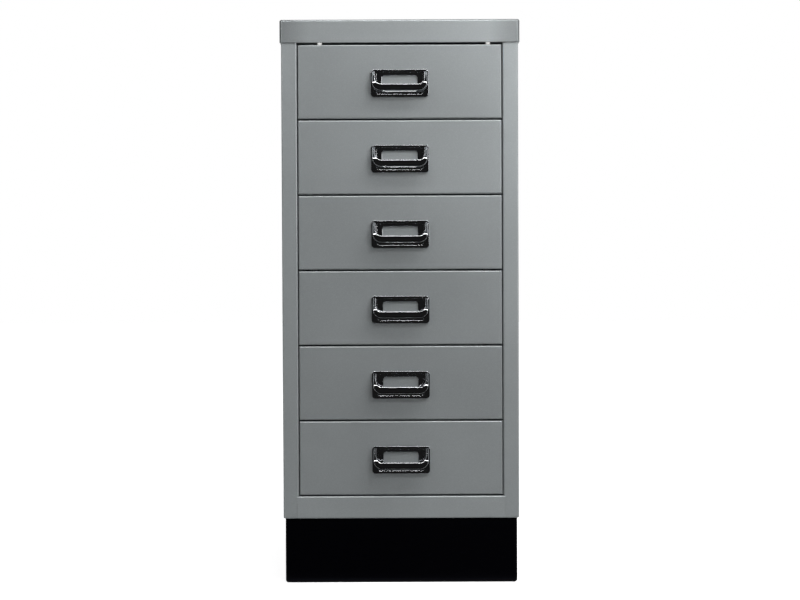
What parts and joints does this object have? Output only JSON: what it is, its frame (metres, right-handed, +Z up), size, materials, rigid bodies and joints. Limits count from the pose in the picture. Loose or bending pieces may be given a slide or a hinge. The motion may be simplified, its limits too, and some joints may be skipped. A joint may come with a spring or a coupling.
{
  "type": "multidrawer cabinet",
  "caption": "Tall narrow steel cabinet for A4 paper: a stack of shallow drawers with chrome label-frame pulls under a pressed cap, on a black plinth.",
  "frame": {"origin": "on the floor, under the centre of the whole cabinet with its handles", "axes": "+Z up, drawers open towards -Y, +X to the right of someone facing the fronts"},
  "size_m": [0.28, 0.3954, 0.6592],
  "materials": {
    "cabinet_paint": "satin silver-grey paint",
    "drawer_paint": "satin silver-grey paint",
    "plinth_paint": "satin black paint",
    "chrome": "bright chrome plate on a zinc casting",
    "nylon": "white nylon",
    "zinc": "zinc-plated steel"
  },
  "bodies": {
    "cabinet": {"back_panel": "cabinet_paint", "base_pan": "cabinet_paint", "bottom_rail": "cabinet_paint", "left_front_upright": "cabinet_paint", "left_rear_upright": "cabinet_paint", "left_runner_1": "cabinet_paint", "left_runner_2": "cabinet_paint", "left_runner_3": "cabinet_paint", "left_runner_4": "cabinet_paint", "left_runner_5": "cabinet_paint", "left_runner_6": "cabinet_paint", "left_side_panel": "cabinet_paint", "plinth_frame": "plinth_paint", "plinth_nuts": "zinc", "plinth_screws": "zinc", "right_front_upright": "cabinet_paint", "right_rear_upright": "cabinet_paint", "right_runner_1": "cabinet_paint", "right_runner_2": "cabinet_paint", "right_runner_3": "cabinet_paint", "right_runner_4": "cabinet_paint", "right_runner_5": "cabinet_paint", "right_runner_6": "cabinet_paint", "right_side_panel": "cabinet_paint", "runner_glides": "nylon", "top_buffers": "nylon", "top_cap": "cabinet_paint", "top_rail": "cabinet_paint"},
    "drawer_1": {"drawer_1_front": "drawer_paint", "drawer_1_glides": "nylon", "drawer_1_handle": "chrome", "drawer_1_handle_clips": "zinc", "drawer_1_tray": "drawer_paint"},
    "drawer_2": {"drawer_2_front": "drawer_paint", "drawer_2_glides": "nylon", "drawer_2_handle": "chrome", "drawer_2_handle_clips": "zinc", "drawer_2_tray": "drawer_paint"},
    "drawer_3": {"drawer_3_front": "drawer_paint", "drawer_3_glides": "nylon", "drawer_3_handle": "chrome", "drawer_3_handle_clips": "zinc", "drawer_3_tray": "drawer_paint"},
    "drawer_4": {"drawer_4_front": "drawer_paint", "drawer_4_glides": "nylon", "drawer_4_handle": "chrome", "drawer_4_handle_clips": "zinc", "drawer_4_tray": "drawer_paint"},
    "drawer_5": {"drawer_5_front": "drawer_paint", "drawer_5_glides": "nylon", "drawer_5_handle": "chrome", "drawer_5_handle_clips": "zinc", "drawer_5_tray": "drawer_paint"},
    "drawer_6": {"drawer_6_front": "drawer_paint", "drawer_6_glides": "nylon", "drawer_6_handle": "chrome", "drawer_6_handle_clips": "zinc", "drawer_6_tray": "drawer_paint"}
  },
  "joints": [
    {"name": "drawer_1_slide", "type": "slide", "parent": "cabinet", "child": "drawer_1", "axis": [0, -1, 0], "range_m": [0, 0.28]},
    {"name": "drawer_2_slide", "type": "slide", "parent": "cabinet", "child": "drawer_2", "axis": [0, -1, 0], "range_m": [0, 0.28]},
    {"name": "drawer_3_slide", "type": "slide", "parent": "cabinet", "child": "drawer_3", "axis": [0, -1, 0], "range_m": [0, 0.28]},
    {"name": "drawer_4_slide", "type": "slide", "parent": "cabinet", "child": "drawer_4", "axis": [0, -1, 0], "range_m": [0, 0.28]},
    {"name": "drawer_5_slide", "type": "slide", "parent": "cabinet", "child": "drawer_5", "axis": [0, -1, 0], "range_m": [0, 0.28]},
    {"name": "drawer_6_slide", "type": "slide", "parent": "cabinet", "child": "drawer_6", "axis": [0, -1, 0], "range_m": [0, 0.28]}
  ]
}
